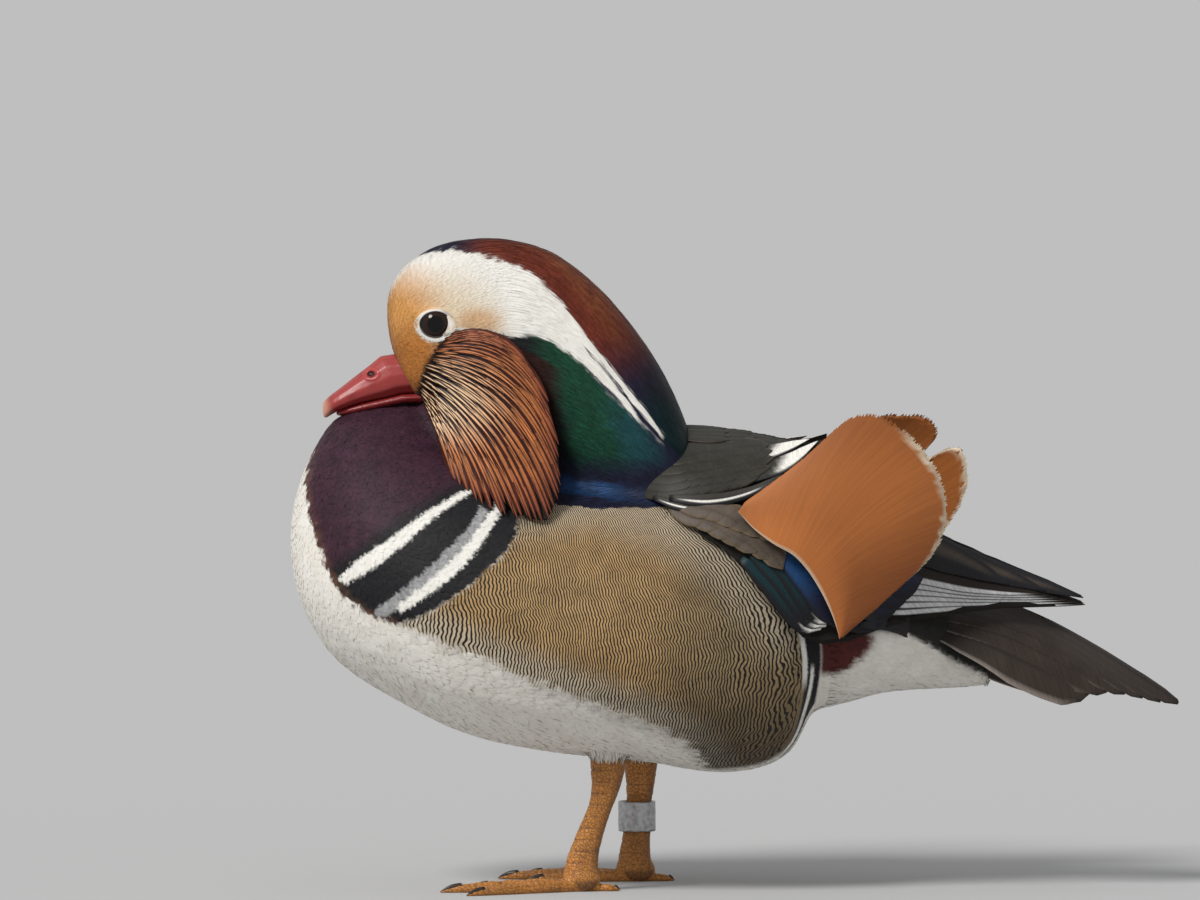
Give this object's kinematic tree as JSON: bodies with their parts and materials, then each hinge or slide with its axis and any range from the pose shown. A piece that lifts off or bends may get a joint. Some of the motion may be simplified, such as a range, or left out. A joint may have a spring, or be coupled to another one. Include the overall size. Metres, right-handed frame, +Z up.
{
  "type": "mandarin duck drake model",
  "caption": "Life-size still model of a standing mandarin drake with a fanned ruff, raised sail feathers and a plain leg ring.",
  "frame": {"origin": "on the floor under the middle of the bird's bounding box", "axes": "+Z up, -Y the way the bird faces, +X the bird's left side"},
  "size_m": [0.1298, 0.3262, 0.2381],
  "materials": {
    "body_plumage": "soft overlapping contour feathers: white belly, fine wavy black bars on golden-buff flanks",
    "breast_plumage": "short smooth feathers, deep maroon-purple",
    "head_plumage": "short hair-like feathers, buff face and white band",
    "crest_plumage": "long silky feathers, chestnut, navy and green with a slight sheen",
    "ruff_plumage": "narrow pointed hackles, rufous with pale shaft streaks",
    "back_plumage": "broad flat feathers, dark brown-grey with a faint gloss",
    "wing_plumage": "stiff vaned feathers, dark with silver edges and a blue-green patch",
    "sail_plumage": "one wide stiff vane, orange-chestnut with a pale fringe",
    "tail_plumage": "stiff vaned feathers, dark brown with thin pale edges",
    "bill": "smooth horn, semi-gloss, red with a pale nail",
    "eye": "wet gloss, near black-brown",
    "leg_skin": "scaled skin, satin, orange-ochre with darker joints",
    "ring_metal": "dull rolled metal band, dented and scratched"
  },
  "bodies": {
    "root": {"bill_lower": "bill", "bill_upper": "bill", "crest": "crest_plumage", "eye_left": "eye", "eye_right": "eye", "foot_left": "leg_skin", "foot_right": "leg_skin", "head": "head_plumage", "leg_left": "leg_skin", "leg_right": "leg_skin", "leg_ring": "ring_metal", "neck": "breast_plumage", "primaries_left": "wing_plumage", "primaries_right": "wing_plumage", "ruff_left": "ruff_plumage", "ruff_right": "ruff_plumage", "rump": "body_plumage", "sail_left": "sail_plumage", "sail_right": "sail_plumage", "scapulars_left": "back_plumage", "scapulars_right": "back_plumage", "tail": "tail_plumage", "trunk": "body_plumage", "wing_left": "wing_plumage", "wing_right": "wing_plumage"}
  },
  "joints": []
}
